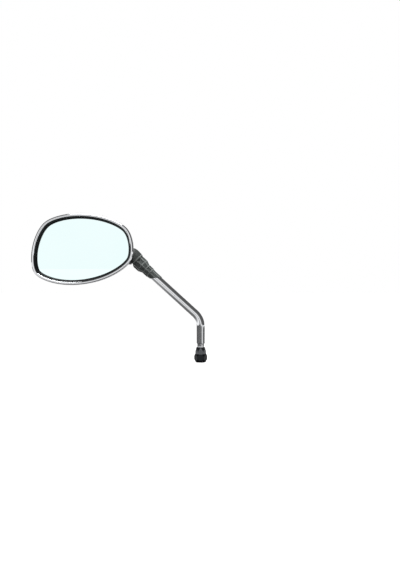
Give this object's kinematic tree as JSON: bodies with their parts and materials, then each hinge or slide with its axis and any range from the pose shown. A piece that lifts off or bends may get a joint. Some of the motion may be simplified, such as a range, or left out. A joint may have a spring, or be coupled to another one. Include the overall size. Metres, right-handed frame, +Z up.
{
  "type": "motorcycle mirror",
  "caption": "Left handlebar mirror with an oval convex glass in a plated head, a ball joint under a rubber boot and a bent tube stem on a hexagonal threaded adapter.",
  "frame": {"origin": "centre of the adapter's lower face, at the mouth of its threaded hole", "axes": "+Z up the stem's lower length, -Y the way the glass faces, +X from the head towards the rider's right; the stem and its bend lie in the plane Y = 0"},
  "size_m": [0.2537, 0.044, 0.2173],
  "materials": {
    "plated_shell": "bright chrome plate on moulded plastic",
    "plated_tube": "bright chrome plate",
    "plated_nut": "bright chrome plate, handled",
    "dark_adapter": "black zinc",
    "ball_steel": "turned steel",
    "black_rubber": "satin moulded rubber",
    "gasket_rubber": "smooth black rubber",
    "seat_nylon": "natural nylon",
    "socket_black": "black glass-filled plastic",
    "cup_brass": "turned brass",
    "spring_steel": "oiled spring steel",
    "screw_zinc": "zinc plate",
    "mirror_face": "silvered convex glass",
    "foam_pad": "dark foam sheet"
  },
  "bodies": {
    "base": {"base_adapter": "dark_adapter"},
    "arm": {"lower_stud": "plated_tube", "lock_nut": "plated_nut", "arm_tube": "plated_tube", "ball_stud": "ball_steel", "joint_boot": "black_rubber"},
    "seat_front": {"front_seat": "seat_nylon"},
    "seat_rear": {"rear_seat": "seat_nylon"},
    "head": {"socket_housing": "socket_black", "spring_cup": "cup_brass", "joint_spring": "spring_steel", "spring_plate": "screw_zinc", "adjusting_plug": "spring_steel", "socket_screw_1": "screw_zinc", "socket_screw_2": "screw_zinc", "socket_screw_3": "screw_zinc", "screw_washer_1": "screw_zinc", "screw_washer_2": "screw_zinc", "screw_washer_3": "screw_zinc", "housing_shell": "plated_shell", "rim_gasket": "gasket_rubber", "mirror_glass": "mirror_face", "backing_pad": "foam_pad"}
  },
  "joints": [
    {"name": "arm_turn", "type": "hinge", "parent": "base", "child": "arm", "pos_m": [0, 0, 0.012], "axis": [0, 0, 1], "range_deg": [-180, 180]},
    {"name": "head_roll", "type": "hinge", "parent": "arm", "child": "seat_front", "pos_m": [-0.10155, 0, 0.1566], "axis": [0, 1, 0], "range_deg": [-10, 10]},
    {"name": "head_pan", "type": "hinge", "parent": "seat_front", "child": "seat_rear", "pos_m": [-0.10155, 0, 0.1566], "axis": [0, 0, 1], "range_deg": [-10, 10]},
    {"name": "head_tilt", "type": "hinge", "parent": "seat_rear", "child": "head", "pos_m": [-0.10155, 0, 0.1566], "axis": [1, 0, 0], "range_deg": [-10, 10]}
  ]
}
